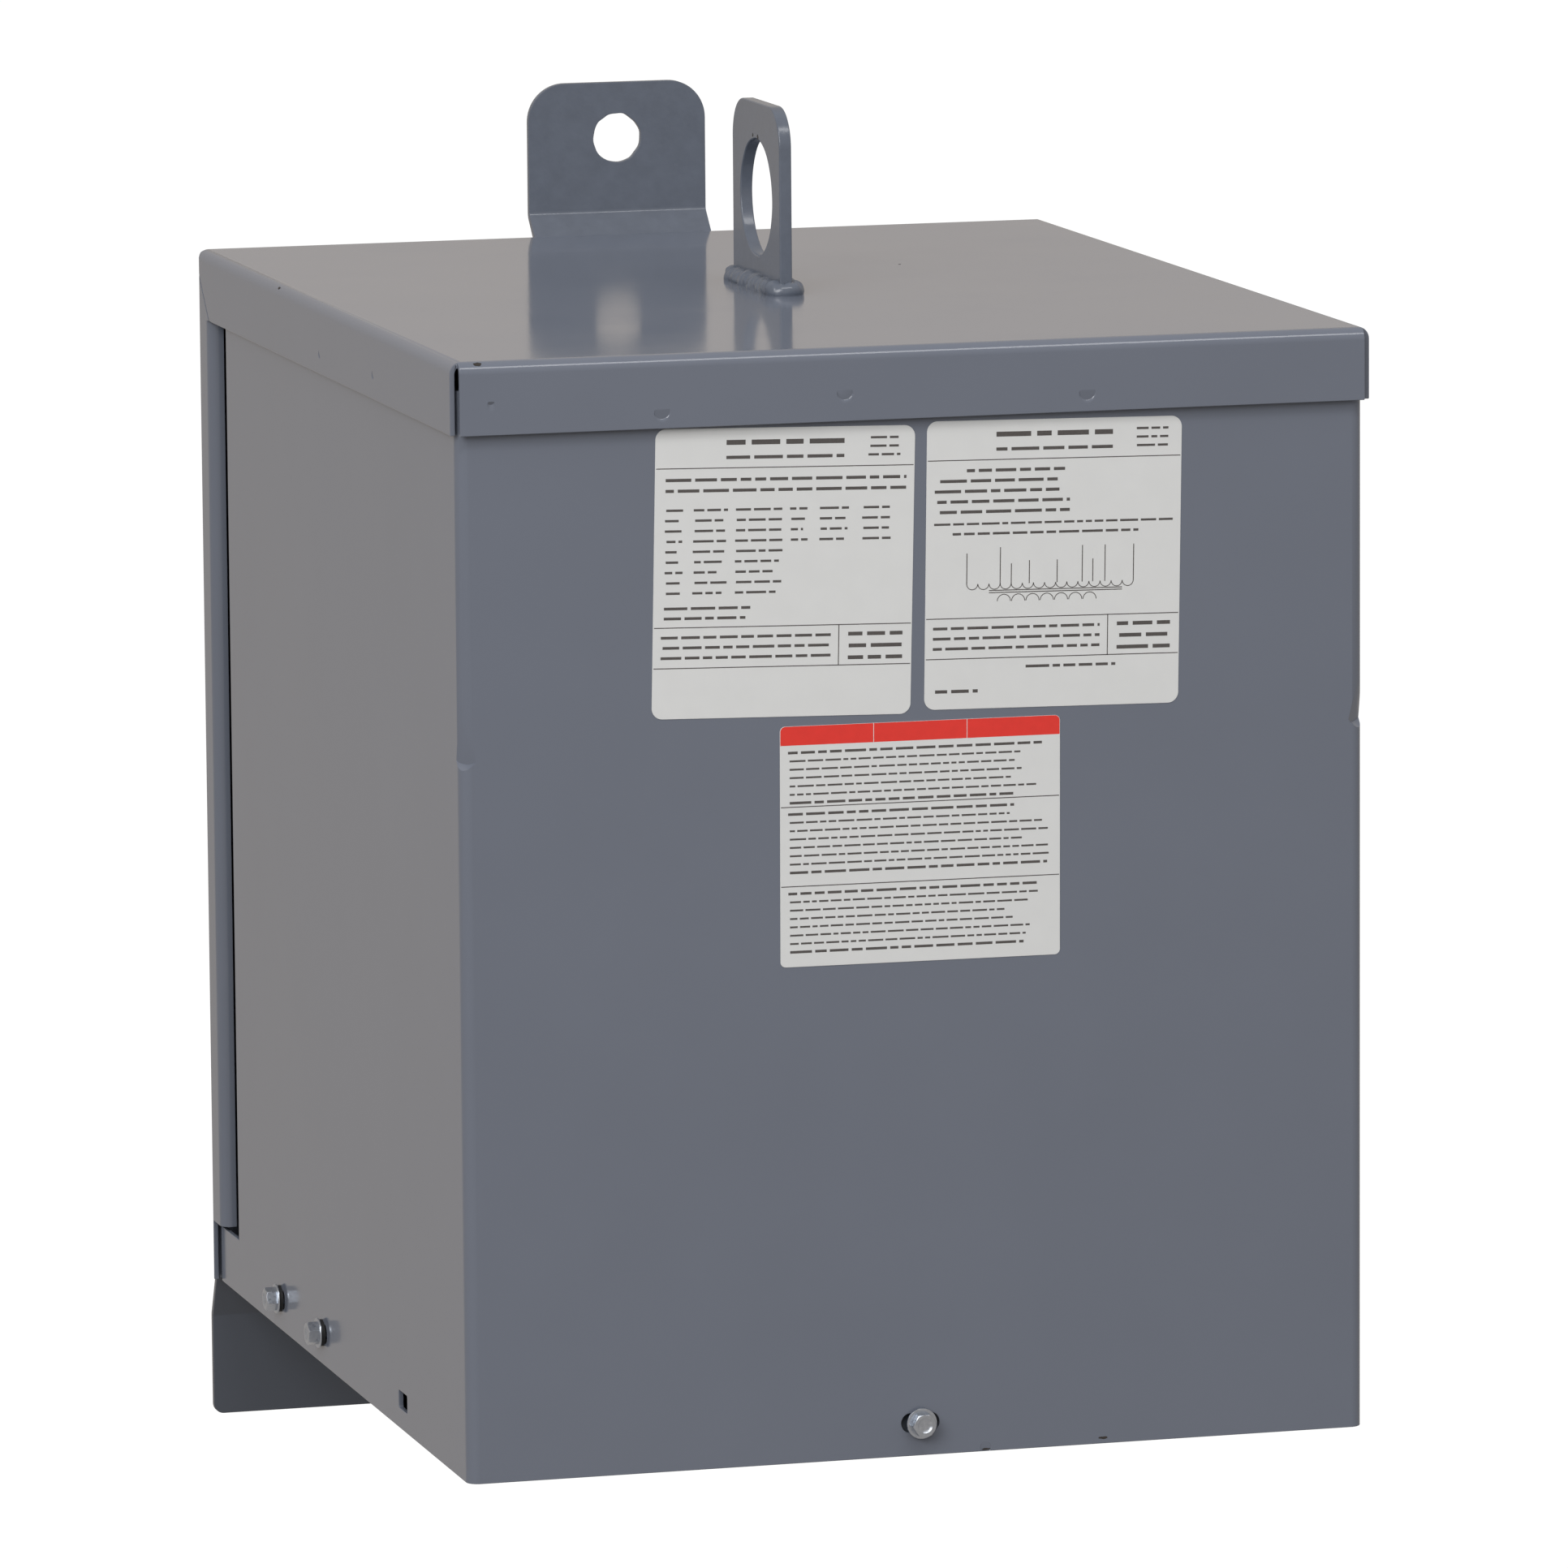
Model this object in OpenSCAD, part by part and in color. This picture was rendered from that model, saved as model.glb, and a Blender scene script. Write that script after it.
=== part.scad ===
// Wall-hung dry-type transformer in a folded sheet steel enclosure.
// Millimetres. X to the right, Y towards the wall, Z up.
// The wall face is y = 0, and z = 0 is the line of the lower hanging slots.

/* [Enclosure] */
// Width across the side panels
width = 340; // [280:1:420]
// Front panel to back panel
depth = 408; // [330:1:500]
// Bottom edge of the front panel to the top of the lid
height = 408; // [330:1:500]
// Thickness of the folded sheet
sheet = 1.9; // [1.2:0.1:2.2]
// Outer radius of the sheet's bends
bend_r = 4.5; // [3:0.5:7]

/* [Lid and back] */
// Depth of the lid's flanges
lid_flange = 26.5; // [20:0.5:34]
// Clearance between the lid's side flanges and the side panels
side_clear = 0.4; // [0.2:0.1:1]
// Clearance between the lid's front flange and the front panel
front_clear = 1.6; // [0.5:0.1:4]
// Gap between the front flange's ends and the side flanges
corner_gap = 0.9; // [0.4:0.1:2]
// Width of the back's side flanges
back_flange = 20; // [14:0.5:26]
// Clearance between the core case and the lips turned in along each back flange
lip_clear = 1.8; // [1:0.1:3]
// Height of the back flange's lower end above the bottom edge
back_flange_up = 23.5; // [23:0.5:32]
// Width of the mitre seam between lid flange and back flange
mitre_gap = 0.6; // [0.4:0.1:1]

/* [Front cover] */
// Width of the open upright gap between back flange and side panel
gap_w = 19; // [10:0.5:24]
// Height of the skirt that closes the foot of the gap
skirt_h = 22; // [16:0.5:30]
// Distance of the skirt's rear edge from the back panel
skirt_short = 8; // [6:0.5:12]
// Height of the pressed corner dents above the bottom edge
dent_up = 263; // [200:1:300]
// Radius of the ball that presses a corner dent
dent_r = 7; // [5:0.5:9]
// Depth of a corner dent
dent_depth = 2.4; // [1:0.1:3]
// Length of the screw slots
slot_len = 14.4; // [11:0.1:16]
// Width of the screw slots
slot_w = 7.2; // [6:0.1:8]
// Height of the screw slots above the bottom edge
slot_up = 12.3; // [10:0.1:14]
// Distance of the open side slot from the front panel
open_slot_y = 99.5; // [80:0.5:120]
// Length of the open side slot
open_slot_len = 13; // [10:0.5:16]
// Width of the open side slot
open_slot_w = 6.6; // [5:0.1:8]
// Height of the open side slot above the bottom edge
open_slot_up = 11; // [9:0.5:14]
// Distance of the front one of the two side screws from the front panel
side_screw_y1 = 228; // [200:1:250]
// Distance of the rear one of the two side screws from the front panel
side_screw_y2 = 298; // [270:1:310]

/* [Inside] */
// Clearance between the case's side sheets and the bottom plate's flanges
case_clear = 0.2; // [0.1:0.1:0.5]
// Gap between the core case and the front panel
core_front_gap = 22; // [12:1:40]
// Height of the wiring space under the core case
wiring_h = 110; // [80:1:140]
// Clearance between the core case and the bends over it
core_top_clear = 0.5; // [0.2:0.1:2]
// Thickness of the case's side sheets
case_sheet = 1.5; // [1:0.1:2]
// Dark seam between the case's side sheets and the lips
case_seam = 1.5; // [1:0.1:3]
// Clearance between the side screws' shanks and the case's side sheets
case_low_clear = 1.5; // [0.5:0.1:2]
// Height of the bottom plate's flanges
pan_flange = 23; // [20:0.5:28]
// Height of the bottom plate above the bottom edge
pan_up = 1; // [0.5:0.1:3]

/* [Hangers] */
// Thickness of the hanger plates
hanger_t = 3; // [2.5:0.1:5]
// Offset of the jog that holds the back panel off the wall
jog = 9.5; // [6:0.5:14]
// Width of the upper hanger
upper_w = 72; // [50:1:100]
// Height of the upper hanger above the lid
upper_rise = 58.7; // [50:0.1:80]
// Height of the upper hanger's outer bend above the lid
upper_bend_up = 7; // [5:0.5:12]
// Radius of the upper hanger's corners
upper_r = 15; // [8:1:20]
// Radius of the upper hanging hole
hang_hole_r = 9.75; // [6:0.25:11]
// Distance of the hanging hole under the upper hanger's top edge
hang_hole_down = 22; // [20:0.5:28]
// Length of the hangers welded on the back panel
hanger_lap = 50; // [30:1:80]
// Drop of the lower hanger under the bottom edge
lower_drop = 57; // [48:1:70]
// Height of the lower hanger's jog
lower_jog_h = 20; // [12:1:24]
// Radius of the lower hanger's corners
lower_r = 4; // [2:0.5:8]
// Height of the lower slots above the lower hanger's bottom edge
lower_slot_up = 20; // [15:0.5:24]
// Distance between the two lower slots
lower_slot_span = 152.4; // [100:0.1:200]
// Length of the lower slots
lower_slot_len = 22; // [14:0.5:30]
// Half the width of the lower slots
lower_slot_r = 5; // [3.5:0.25:6]

/* [Lifting eye] */
// Thickness of the bar
eye_t = 4.8; // [4:0.1:8]
// Width of the bar
eye_w = 66; // [58:1:80]
// Height of the bar above the lid
eye_h = 69.5; // [62:0.5:84]
// Radius of the bar's upper corners
eye_r = 15; // [8:1:22]
// Radius of the lifting hole
eye_hole_r = 22; // [14:0.5:24]
// Height of the hole's centre above the lid
eye_hole_up = 33.8; // [30:0.1:38]
// Size of the weld beads
weld_r = 6; // [3:0.5:8]
// Length of the weld beads past each end of the bar
weld_over = 2; // [0:0.5:6]

/* [Screws] */
// Hexagon across flats
hex_af = 7.94; // [7:0.01:10]
// Height of the hexagon
hex_h = 4; // [3:0.1:5]
// Radius of the head's washer
washer_r = 5.7; // [5:0.1:6.5]
// Thickness of the head's washer
washer_t = 0.9; // [0.6:0.1:1.4]
// Radius of the screw's shank
shank_r = 2.6; // [2:0.1:3]
// Length of the shank from under the head
shank_len = 16; // [10:1:20]
// Clearance around the shank in the bottom plate's flange
pilot_clear = 0.1; // [0.05:0.05:0.4]
// Radius of the sealing washer
seal_r = 5.1; // [4.5:0.1:5.6]
// Thickness of the sealing washer
seal_t = 1.4; // [0.8:0.1:2]

/* [Labels] */
// Thickness of the label stock
label_t = 0.2; // [0.1:0.05:0.4]
// Size of the left label
left_label_size = [96.8, 105];
// Centre of the left label, across and above the bottom edge
left_label_at = [-49.5, 327.4];
// Turn of the left label
left_label_turn = -1.35; // [-3:0.05:3]
// Size of the right label
right_label_size = [96.2, 105];
// Centre of the right label
right_label_at = [51.8, 326.5];
// Turn of the right label
right_label_turn = -0.95; // [-3:0.05:3]
// Size of the lower label
lower_label_size = [105.5, 88];
// Centre of the lower label
lower_label_at = [1.2, 227];
// Turn of the lower label
lower_label_turn = -0.25; // [-3:0.05:3]
// Corner radius of the two upper labels
label_r = 4; // [1:0.5:8]
// Corner radius of the lower label
lower_label_r = 2; // [1:0.5:8]

/* [Hidden] */
$fn = 64;
// Length that runs past any face it cuts
past = 20;
paint = "#6a6e77";
paint_inside = "#4c525c";
zinc = "#b9bcc0";
stock = "#e6e6e3";

back_y = -(jog + hanger_t);
front_y = back_y - depth;
lid_front_y = front_y - front_clear - sheet;
base_z = lower_drop - lower_slot_up;
lid_top = base_z + height;
flange_z = lid_top - lid_flange;
side_x = width / 2;
lid_x = side_x + side_clear + sheet;
case_x = side_x - 2 * sheet - case_clear;
gap_front_y = back_y - back_flange - gap_w;
slot_z = base_z + slot_up;
pan_z = base_z + pan_up;
core_z = base_z + wiring_h;
eye_y = back_y - depth / 2;
upper_top = lid_top + upper_rise;
hang_hole_z = upper_top - hang_hole_down;
screw_ys = [front_y + side_screw_y1, front_y + side_screw_y2];

// Upright rectangle from y = -h to 0 with its two upper corners rounded
module rounded_top(w, h, r) {
    translate([-w / 2, -h]) square([w, h - r]);
    translate([-w / 2 + r, -r - 0.01]) square([w - 2 * r, r + 0.01]);
    for (s = [-1, 1]) translate([s * (w / 2 - r), -r]) circle(r);
}

// Rectangle about its centre with four rounded corners
module rounded_plate(w, h, r) {
    square([w - 2 * r, h], center = true);
    square([w, h - 2 * r], center = true);
    for (sx = [-1, 1], sy = [-1, 1]) translate([sx * (w / 2 - r), sy * (h / 2 - r)]) circle(r);
}

// Sheet bent to a U: its back at y = 0 and its legs towards -y
module bent_u(w, leg) {
    difference() {
        rounded_top(w, leg, bend_r);
        translate([0, -sheet]) rounded_top(w - 2 * sheet, leg, bend_r - sheet);
    }
}

// Solid that the lid and the back wrap around, drawn in by inset on every side
module wrapped_block(inset) {
    r = bend_r - inset;
    h = height + (inset > 0 ? past : 0);
    w = 2 * (lid_x - inset);
    d = back_y - lid_front_y - 2 * inset;
    mid_y = (back_y + lid_front_y) / 2;
    top = lid_top - inset;
    intersection() {
        translate([0, back_y, top]) rotate([90, 0, 0]) linear_extrude(2 * depth) rounded_top(w, h, r);
        translate([-width, mid_y, top]) rotate([90, 0, 90]) linear_extrude(2 * width) rounded_top(d, h, r);
        translate([0, back_y - inset, base_z - past]) linear_extrude(2 * height) rounded_top(w, d, r);
    }
}

// Upright closed section of the back with its side flanges, drawn in by inset
module back_section(inset) {
    translate([0, back_y - back_flange / 2])
        rounded_plate(2 * (lid_x - inset), back_flange - 2 * inset, bend_r - inset);
}

// Back, its side flanges and their lips, up into the lid
module back_channel() {
    open_w = 2 * (case_x - case_sheet + lip_clear);
    translate([0, 0, base_z]) linear_extrude(height - bend_r) difference() {
        back_section(0);
        back_section(sheet);
        translate([-open_w / 2, back_y - back_flange - 1]) square([open_w, sheet + 2]);
    }
}

// Lid, its three flanges, the back and the back's side flanges, from one sheet
module top_back_cover() {
    low = base_z - past;
    cut_back_y = back_y - back_flange;
    notch_x = lid_x - sheet - corner_gap;
    color(paint) difference() {
        union() {
            difference() {
                wrapped_block(0);
                wrapped_block(sheet);
                // open below the lid's flanges and in front of the back
                translate([-width, lid_front_y - past, low])
                    cube([2 * width, back_y - bend_r - lid_front_y + past, flange_z - low]);
            }
            back_channel();
        }
        // lower ends of the back's flanges
        translate([-width, cut_back_y - 1, low])
            cube([2 * width, back_flange - bend_r + 1, base_z + back_flange_up - low]);
        for (s = [-1, 1]) {
            // the front flange stands between the side flanges, ahead of their ends
            translate([s * (notch_x + past / 2) - past / 2, lid_front_y - 1, low])
                cube([past, front_y - lid_front_y + 1, 2 * height]);
            // mitre seams
            translate([s * lid_x, cut_back_y, flange_z]) rotate([45, 0, 0])
                cube([2.4 * sheet, 2 * (back_flange - 2.5) * sqrt(2), mitre_gap], center = true);
        }
    }
}

// Slot with round ends, lying along x
module slot_outline(len, r) {
    square([len - 2 * r, 2 * r], center = true);
    for (s = [-1, 1]) translate([s * (len / 2 - r), 0]) circle(r);
}

// Children cut through the front panel, or through both side panels at the distance y
module cut_front() {
    translate([0, front_y, slot_z]) rotate([90, 0, 0]) linear_extrude(2 * past, center = true) children();
}
module cut_sides(y, z) {
    translate([0, y, z]) rotate([90, 0, 90]) linear_extrude(2 * width, center = true) children();
}

// Front and both sides, from one sheet
module front_cover() {
    top = flange_z + lid_flange * 0.6;
    side_end = back_y - skirt_short;
    color(paint) difference() {
        union() {
            translate([0, front_y, base_z]) linear_extrude(top - base_z) rotate(180)
                bent_u(width, side_end - front_y);
            intersection() {
                corner_dents(dent_r + sheet);
                translate([-side_x + sheet, front_y + sheet, base_z]) cube([width - 2 * sheet, bend_r, height]);
            }
        }
        corner_dents(dent_r);
        translate([-width, gap_front_y, base_z + skirt_h]) cube([2 * width, depth, height]);
        cut_front() slot_outline(slot_len, slot_w / 2);
        for (y = screw_ys) cut_sides(y, slot_z) slot_outline(slot_len, slot_w / 2);
        cut_sides(front_y + open_slot_y, base_z + open_slot_up)
            rounded_plate(open_slot_len, open_slot_w, 0.8);
    }
}

// Balls that press the two dents into the front's upright corners
module corner_dents(r) {
    lean = (bend_r + dent_r - dent_depth) / sqrt(2);
    for (s = [-1, 1])
        translate([s * (side_x - bend_r + lean), front_y + bend_r - lean, base_z + dent_up]) sphere(r);
}

// Closing plate of the wiring space, with flanges that the screws bite into
module bottom_plate() {
    in_x = side_x - sheet;
    tab_w = 60;
    end_margin = 20;
    side_len = side_screw_y2 - side_screw_y1 + 2 * end_margin;
    color(paint_inside) difference() {
        union() {
            translate([0, (front_y + back_y) / 2, pan_z]) linear_extrude(sheet)
                rounded_plate(2 * in_x, depth - 2 * sheet, bend_r - sheet);
            translate([-tab_w / 2, front_y + sheet, pan_z]) cube([tab_w, sheet, pan_flange]);
            for (s = [-1, 1])
                translate([s * (in_x - sheet / 2) - sheet / 2, screw_ys[0] - end_margin, pan_z])
                    cube([sheet, side_len, pan_flange]);
        }
        translate([0, front_y, slot_z]) rotate([90, 0, 0])
            cylinder(r = shank_r + pilot_clear, h = 4 * past, center = true);
        for (y = screw_ys) translate([0, y, slot_z]) rotate([0, 90, 0])
            cylinder(r = shank_r + pilot_clear, h = 2 * width, center = true);
    }
}

// Closed case with the potted core and coil
module core_case() {
    w = 2 * (case_x - case_sheet);
    front = front_y + core_front_gap;
    top = lid_top - bend_r - core_top_clear;
    color(paint_inside) translate([-w / 2, front, core_z]) cube([w, back_y - sheet - front, top - core_z]);
}

// Side sheet of the inner case, s = -1 on the left
module case_side(s) {
    front = front_y + core_front_gap;
    end = back_y - back_flange - case_seam;
    low = slot_z + shank_r + case_low_clear;
    top = flange_z + lid_flange / 2;
    color(paint_inside) translate([s * (case_x - case_sheet / 2) - case_sheet / 2, front, low])
        cube([case_sheet, end - front, top - low]);
}

// Jogged strip seen from the side: a leg on the back panel and a leg on the wall
module jog_profile(lap_z, in_z, out_z, end_z) {
    polygon([
        [back_y, lap_z], [back_y + hanger_t, lap_z], [back_y + hanger_t, in_z],
        [0, out_z], [0, end_z], [-hanger_t, end_z], [-hanger_t, out_z], [back_y, in_z]
    ]);
}

// Plate over the lid with the upper hanging hole
module upper_hanger() {
    out_z = lid_top + upper_bend_up;
    low = lid_top - bend_r - hanger_lap;
    color(paint) difference() {
        intersection() {
            translate([-upper_w / 2, 0, 0]) rotate([90, 0, 90]) linear_extrude(upper_w)
                jog_profile(low, out_z - jog, out_z, upper_top);
            translate([0, past, upper_top]) rotate([90, 0, 0]) linear_extrude(4 * past)
                rounded_top(upper_w, upper_top - low + 1, upper_r);
        }
        translate([0, 0, hang_hole_z]) rotate([90, 0, 0]) cylinder(r = hang_hole_r, h = 4 * past, center = true);
    }
}

// Wide plate under the enclosure with two hanging slots
module lower_hanger() {
    end_z = -lower_slot_up;
    out_z = base_z - lower_jog_h + 3;
    lap_z = base_z + hanger_lap;
    color(paint) difference() {
        intersection() {
            translate([-side_x, 0, 0]) rotate([90, 0, 90]) linear_extrude(width)
                jog_profile(lap_z, out_z + lower_jog_h, out_z, end_z);
            translate([0, -3 * past, end_z]) rotate([-90, 0, 0]) linear_extrude(4 * past)
                rounded_top(width, lap_z - end_z + 1, lower_r);
        }
        for (s = [-1, 1]) translate([s * lower_slot_span / 2, 0, 0]) rotate([90, 0, 0])
            linear_extrude(4 * past, center = true) slot_outline(lower_slot_len, lower_slot_r);
    }
}

// Quarter-round weld bead along z, in the corner between x = 0 and y = 0
module weld(r, len) {
    linear_extrude(len) intersection() {
        circle(r);
        square(r);
    }
}

// Upright weld beside the upper hanger on the back panel
module upper_hanger_weld(s) {
    low = lid_top - bend_r - hanger_lap;
    color(paint) translate([s * upper_w / 2, back_y, low + 4]) rotate(s > 0 ? 0 : 90)
        weld(hanger_t, hanger_lap - 12);
}

// Weld along the lower hanger's top edge on the back panel
module lower_hanger_weld() {
    color(paint) translate([-side_x + past, back_y, base_z + hanger_lap]) rotate([90, 0, 90])
        weld(hanger_t, width - 2 * past);
}

// Upright bar on the lid with the lifting hole
module lifting_eye() {
    color(paint) translate([-eye_t / 2, eye_y, lid_top]) rotate([90, 0, 90]) linear_extrude(eye_t)
        difference() {
            translate([0, eye_h]) rounded_top(eye_w, eye_h, eye_r);
            translate([0, eye_hole_up]) circle(eye_hole_r);
        }
}

// Bead between the bar's face and the lid
module eye_weld(s) {
    len = eye_w + 2 * weld_over;
    color(paint) translate([s * eye_t / 2, eye_y + s * len / 2, lid_top]) rotate([90, 0, s > 0 ? 0 : 180])
        weld(weld_r, len);
}

// Hexagon screw with its washer, seated at z = 0 and pointing along -z
module screw() {
    color(zinc) {
        cylinder(r = washer_r, h = washer_t);
        cylinder(r = hex_af / 2 / cos(30), h = washer_t + hex_h, $fn = 6);
        translate([0, 0, -shank_len]) cylinder(r = shank_r, h = shank_len + washer_t / 2);
    }
}

// Ring under a screw's head, lying on the panel at z = 0
module seal() {
    color("#2c2e31") difference() {
        cylinder(r = seal_r, h = seal_t);
        translate([0, 0, -1]) cylinder(r = shank_r + pilot_clear, h = seal_t + 2);
    }
}

// Children placed on the front panel's slot, z outwards
module on_front() {
    translate([0, front_y, slot_z]) rotate([90, 0, 0]) children();
}

// Children placed on a side panel's slot, z outwards
module on_side(s, y) {
    translate([s * side_x, y, slot_z]) rotate([0, s * 90, 0]) children();
}

// Printed label on the front panel
module label(size, at, turn, r) {
    color(stock) translate([at[0], front_y, base_z + at[1]]) rotate([90, 0, 0]) linear_extrude(label_t)
        rotate(turn) rounded_plate(size[0], size[1], r);
}

top_back_cover();
front_cover();
bottom_plate();
core_case();
case_side(-1);  // case_side_left
case_side(1);  // case_side_right
upper_hanger();
lower_hanger();
upper_hanger_weld(-1);  // upper_hanger_weld_left
upper_hanger_weld(1);  // upper_hanger_weld_right
lower_hanger_weld();
lifting_eye();
eye_weld(-1);  // eye_weld_left
eye_weld(1);  // eye_weld_right
on_front() translate([0, 0, seal_t]) screw();  // front_screw
on_side(-1, screw_ys[0]) translate([0, 0, seal_t]) screw();  // left_front_screw
on_side(-1, screw_ys[1]) translate([0, 0, seal_t]) screw();  // left_rear_screw
on_side(1, screw_ys[0]) translate([0, 0, seal_t]) screw();  // right_front_screw
on_side(1, screw_ys[1]) translate([0, 0, seal_t]) screw();  // right_rear_screw
on_front() seal();  // front_seal
on_side(-1, screw_ys[0]) seal();  // left_front_seal
on_side(-1, screw_ys[1]) seal();  // left_rear_seal
on_side(1, screw_ys[0]) seal();  // right_front_seal
on_side(1, screw_ys[1]) seal();  // right_rear_seal
label(left_label_size, left_label_at, left_label_turn, label_r);  // left_label
label(right_label_size, right_label_at, right_label_turn, label_r);  // right_label
label(lower_label_size, lower_label_at, lower_label_turn, lower_label_r);  // lower_label
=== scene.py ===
import math
import random

import bmesh
import bpy
from mathutils import Matrix, Vector, noise


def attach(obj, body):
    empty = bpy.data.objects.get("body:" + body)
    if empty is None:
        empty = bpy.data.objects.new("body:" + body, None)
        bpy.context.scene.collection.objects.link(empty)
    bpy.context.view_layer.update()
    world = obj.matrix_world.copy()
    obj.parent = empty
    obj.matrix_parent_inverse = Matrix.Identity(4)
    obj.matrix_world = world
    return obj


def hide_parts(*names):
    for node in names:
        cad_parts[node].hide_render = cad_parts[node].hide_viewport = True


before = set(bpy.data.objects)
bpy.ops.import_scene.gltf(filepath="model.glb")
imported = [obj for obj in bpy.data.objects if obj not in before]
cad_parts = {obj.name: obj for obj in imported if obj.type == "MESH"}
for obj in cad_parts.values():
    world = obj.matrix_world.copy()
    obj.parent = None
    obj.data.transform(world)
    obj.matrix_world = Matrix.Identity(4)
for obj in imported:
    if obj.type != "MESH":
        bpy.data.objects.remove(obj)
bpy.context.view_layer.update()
scene = bpy.context.scene
mm = 0.001

# shared sizes of the bent sheet work, in mm
body = {
    "sideX": 170.0, "lidX": 172.3,
    "frontY": -420.5, "lidFrontY": -424.0, "backY": -12.5, "gapY": -51.5,
    "baseZ": 37.0, "flangeZ": 418.5, "lidTop": 445.0,
    "sheet": 1.9, "bend": 4.5,
}


def linear(hexText):  # sRGB hex to linear
    parts = [int(hexText[i:i + 2], 16) / 255 for i in (1, 3, 5)]
    return tuple(c / 12.92 if c <= 0.04045 else ((c + 0.055) / 1.055) ** 2.4 for c in parts) + (1.0,)


def addNode(tree, kind, settings=None, links=None):
    node = tree.nodes.new(kind)
    for key, value in (settings or {}).items():
        if isinstance(key, int) or key in node.inputs:
            node.inputs[key].default_value = value
        else:
            setattr(node, key, value)
    for key, (source, output) in (links or {}).items():
        tree.links.new(source.outputs[output], node.inputs[key])
    return node


# camera
view = {"at": (-1.15076, -4.37840, 0.91516), "yaw": 15.5436, "down": 8.6887, "roll": -0.42468, "lens": 264.63}


def makeCamera():
    yaw, down, roll = (math.radians(view[k]) for k in ("yaw", "down", "roll"))
    ahead = Vector((math.sin(yaw) * math.cos(down), math.cos(yaw) * math.cos(down), -math.sin(down)))
    level = Vector((math.cos(yaw), -math.sin(yaw), 0))
    above = level.cross(ahead)
    right = level * math.cos(roll) + above * math.sin(roll)
    up = above * math.cos(roll) - level * math.sin(roll)
    lens = bpy.data.cameras.new("camera")
    lens.lens = view["lens"]
    lens.sensor_width = 36
    lens.clip_end = 50
    cam = bpy.data.objects.new("camera", lens)
    turn = Matrix((right, up, -ahead)).transposed().to_4x4()
    cam.matrix_world = Matrix.Translation(view["at"]) @ turn
    scene.collection.objects.link(cam)
    scene.camera = cam


makeCamera()

# light, backdrop, floor
studio = {
    "surround": "#DCDCDE", "surroundStrength": 1.0, "mirrored": "#D8D0C8", "mirroredStrength": 0.73,
    "keyPower": 96, "keySize": 2.4, "keyAt": (-2.7, -3.3, 2.2),
    "stripPower": 30, "stripSize": (2.6, 0.7), "stripAt": (0.2, -2.2, 3.0),
    "floorZ": -0.34, "floorColour": "#6E6E6D", "floorGlow": 0.92,
}


def makeStudio():
    world = bpy.data.worlds.new("studio")
    scene.world = world
    world.use_nodes = True
    tree = world.node_tree
    tree.nodes.clear()
    path = addNode(tree, "ShaderNodeLightPath")
    around = addNode(tree, "ShaderNodeBackground",
                     {"Color": linear(studio["surround"]), "Strength": studio["surroundStrength"]})
    mirrored = addNode(tree, "ShaderNodeBackground",
                       {"Color": linear(studio["mirrored"]), "Strength": studio["mirroredStrength"]})
    white = addNode(tree, "ShaderNodeBackground", {"Color": (1, 1, 1, 1), "Strength": 1.0})
    soft = addNode(tree, "ShaderNodeMixShader", None, {0: (path, "Is Glossy Ray"), 1: (around, 0), 2: (mirrored, 0)})
    pick = addNode(tree, "ShaderNodeMixShader", None, {0: (path, "Is Camera Ray"), 1: (soft, 0), 2: (white, 0)})
    addNode(tree, "ShaderNodeOutputWorld", None, {"Surface": (pick, 0)})

    for name, shape, size in (("key", "DISK", (studio["keySize"],) * 2), ("strip", "RECTANGLE", studio["stripSize"])):
        lamp = bpy.data.lights.new(name, "AREA")
        lamp.shape = shape
        lamp.size, lamp.size_y = size
        lamp.energy = studio[name + "Power"]
        holder = bpy.data.objects.new(name, lamp)
        holder.location = studio[name + "At"]
        holder.rotation_euler = (Vector((0, -0.2, 0.25)) - holder.location).to_track_quat("-Z", "Y").to_euler()
        scene.collection.objects.link(holder)

    bpy.ops.mesh.primitive_circle_add(vertices=96, radius=14, fill_type="NGON", location=(0, 0, studio["floorZ"]))
    floor = bpy.context.object
    floor.name = "floor"
    stuff = bpy.data.materials.new("paleFloor")  # painted studio floor, a matt pale ground with a faint shadow
    stuff.use_nodes = True
    tree = stuff.node_tree
    tree.nodes.clear()
    path = addNode(tree, "ShaderNodeLightPath")
    matt = addNode(tree, "ShaderNodeBsdfDiffuse", {"Color": linear(studio["floorColour"])})
    glow = addNode(tree, "ShaderNodeEmission", {"Strength": studio["floorGlow"]})
    mirrored = addNode(tree, "ShaderNodeEmission",
                       {"Color": linear(studio["mirrored"]), "Strength": studio["mirroredStrength"]})
    lit = addNode(tree, "ShaderNodeAddShader", None, {0: (matt, 0), 1: (glow, 0)})
    soft = addNode(tree, "ShaderNodeMixShader", None, {0: (path, "Is Glossy Ray"), 1: (matt, 0), 2: (mirrored, 0)})
    pick = addNode(tree, "ShaderNodeMixShader", None, {0: (path, "Is Camera Ray"), 1: (soft, 0), 2: (lit, 0)})
    addNode(tree, "ShaderNodeOutputMaterial", None, {"Surface": (pick, 0)})
    floor.data.materials.append(stuff)


makeStudio()
scene.view_settings.view_transform = "Standard"
print("studio ready")


# materials
def material(name):
    made = bpy.data.materials.new(name)
    made.use_nodes = True
    tree = made.node_tree
    tree.nodes.clear()
    where = addNode(tree, "ShaderNodeTexCoord")
    return made, tree, where


def close(tree, shader):
    addNode(tree, "ShaderNodeOutputMaterial", None, {"Surface": (shader, 0)})


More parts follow.
